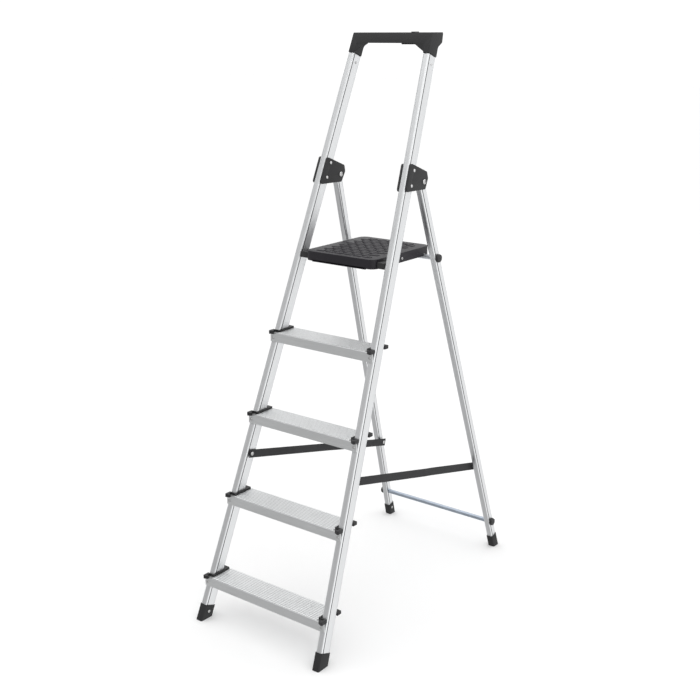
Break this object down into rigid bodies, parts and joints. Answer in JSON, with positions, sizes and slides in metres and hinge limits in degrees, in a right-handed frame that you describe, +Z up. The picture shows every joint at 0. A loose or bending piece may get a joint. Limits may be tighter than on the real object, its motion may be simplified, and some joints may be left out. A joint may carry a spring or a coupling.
{
  "type": "folding step ladder",
  "caption": "Folding step ladder with ribbed metal treads, a standing platform that tilts up, a grab bar, rear prop legs and webbing straps.",
  "frame": {"origin": "on the floor, at the middle of the opened ladder's footprint", "axes": "+Z up; +Y the way the climber faces, from the treads towards the rear legs; +X to the climber's right"},
  "size_m": [0.4556, 0.9488, 1.622],
  "materials": {
    "extruded_aluminium": "mill-drawn, fine lengthwise lines, satin",
    "tread_aluminium": "ribbed extrusion, satin",
    "rivet_aluminium": "domed rivet heads, satin",
    "zinc_steel": "blue-grey zinc or paint on steel tube, semi-matt",
    "dark_grey_plate": "fine-grained, dark grey",
    "black_plastic": "moulded, satin black",
    "platform_plastic": "moulded, with a raised tread pattern on top",
    "foot_plastic": "soft black plastic",
    "strap_webbing": "woven black webbing"
  },
  "bodies": {
    "front_frame": {"front_foot_left": "foot_plastic", "front_foot_right": "foot_plastic", "front_rail_left": "extruded_aluminium", "front_rail_right": "extruded_aluminium", "hinge_plate_left_inner": "dark_grey_plate", "hinge_plate_left_outer": "dark_grey_plate", "hinge_plate_right_inner": "dark_grey_plate", "hinge_plate_right_outer": "dark_grey_plate", "hinge_rivet_left_lower": "rivet_aluminium", "hinge_rivet_left_upper": "rivet_aluminium", "hinge_rivet_right_lower": "rivet_aluminium", "hinge_rivet_right_upper": "rivet_aluminium", "leg_pivot_pin_left": "rivet_aluminium", "leg_pivot_pin_right": "rivet_aluminium", "platform_bracket_left": "black_plastic", "platform_bracket_right": "black_plastic", "platform_pivot_pin_left": "rivet_aluminium", "platform_pivot_pin_right": "rivet_aluminium", "strap_front_rivet_left": "rivet_aluminium", "strap_front_rivet_right": "rivet_aluminium", "top_cap": "black_plastic", "top_cap_rivet_left": "rivet_aluminium", "top_cap_rivet_right": "rivet_aluminium", "tread_1": "tread_aluminium", "tread_2": "tread_aluminium", "tread_3": "tread_aluminium", "tread_4": "tread_aluminium", "tread_clip_left_1": "black_plastic", "tread_clip_left_2": "black_plastic", "tread_clip_left_3": "black_plastic", "tread_clip_left_4": "black_plastic", "tread_clip_right_1": "black_plastic", "tread_clip_right_2": "black_plastic", "tread_clip_right_3": "black_plastic", "tread_clip_right_4": "black_plastic", "tread_rivet_left_1": "rivet_aluminium", "tread_rivet_left_2": "rivet_aluminium", "tread_rivet_left_3": "rivet_aluminium", "tread_rivet_left_4": "rivet_aluminium", "tread_rivet_right_1": "rivet_aluminium", "tread_rivet_right_2": "rivet_aluminium", "tread_rivet_right_3": "rivet_aluminium", "tread_rivet_right_4": "rivet_aluminium"},
    "platform": {"platform": "platform_plastic"},
    "rear_frame": {"lower_cross_rod": "zinc_steel", "lower_rod_plug_left": "black_plastic", "lower_rod_plug_right": "black_plastic", "rear_foot_left": "foot_plastic", "rear_foot_right": "foot_plastic", "rear_leg_left": "extruded_aluminium", "rear_leg_right": "extruded_aluminium", "upper_cross_rod": "zinc_steel", "upper_rod_plug_left": "black_plastic", "upper_rod_plug_right": "black_plastic"},
    "strap_left_front_half": {"strap_left_front": "strap_webbing"},
    "strap_left_rear_half": {"strap_left_rear": "strap_webbing", "strap_rear_rivet_left": "rivet_aluminium"},
    "strap_right_front_half": {"strap_right_front": "strap_webbing"},
    "strap_right_rear_half": {"strap_rear_rivet_right": "rivet_aluminium", "strap_right_rear": "strap_webbing"}
  },
  "joints": [
    {"name": "rear_frame_fold", "type": "hinge", "parent": "front_frame", "child": "rear_frame", "pos_m": [0, 0.08932, 1.227], "axis": [-1, 0, 0], "range_deg": [0, 38.1]},
    {"name": "platform_tilt", "type": "hinge", "parent": "front_frame", "child": "platform", "pos_m": [0, -0.05666, 1.015], "axis": [1, 0, 0], "range_deg": [0, 68.7]},
    {"name": "strap_left_swing", "type": "hinge", "parent": "front_frame", "child": "strap_left_front_half", "pos_m": [-0.17617, -0.27305, 0.46], "axis": [-1, 0, 0], "range_deg": [0, 64.2]},
    {"name": "strap_left_crease", "type": "hinge", "parent": "strap_left_front_half", "child": "strap_left_rear_half", "pos_m": [-0.17427, 0.11394, 0.3627], "axis": [1, 0, 0], "range_deg": [0, 183.89]},
    {"name": "strap_right_swing", "type": "hinge", "parent": "front_frame", "child": "strap_right_front_half", "pos_m": [0.17617, -0.27305, 0.46], "axis": [-1, 0, 0], "range_deg": [0, 64.2]},
    {"name": "strap_right_crease", "type": "hinge", "parent": "strap_right_front_half", "child": "strap_right_rear_half", "pos_m": [0.17427, 0.11394, 0.3627], "axis": [1, 0, 0], "range_deg": [0, 183.89]}
  ],
  "couplings": [
    {"joint": "platform_tilt", "follows": "rear_frame_fold", "ratio": 1.8031},
    {"joint": "strap_left_swing", "follows": "rear_frame_fold", "ratio": 1.685},
    {"joint": "strap_left_crease", "follows": "rear_frame_fold", "ratio": 4.8265},
    {"joint": "strap_right_swing", "follows": "rear_frame_fold", "ratio": 1.685},
    {"joint": "strap_right_crease", "follows": "rear_frame_fold", "ratio": 4.8265}
  ]
}
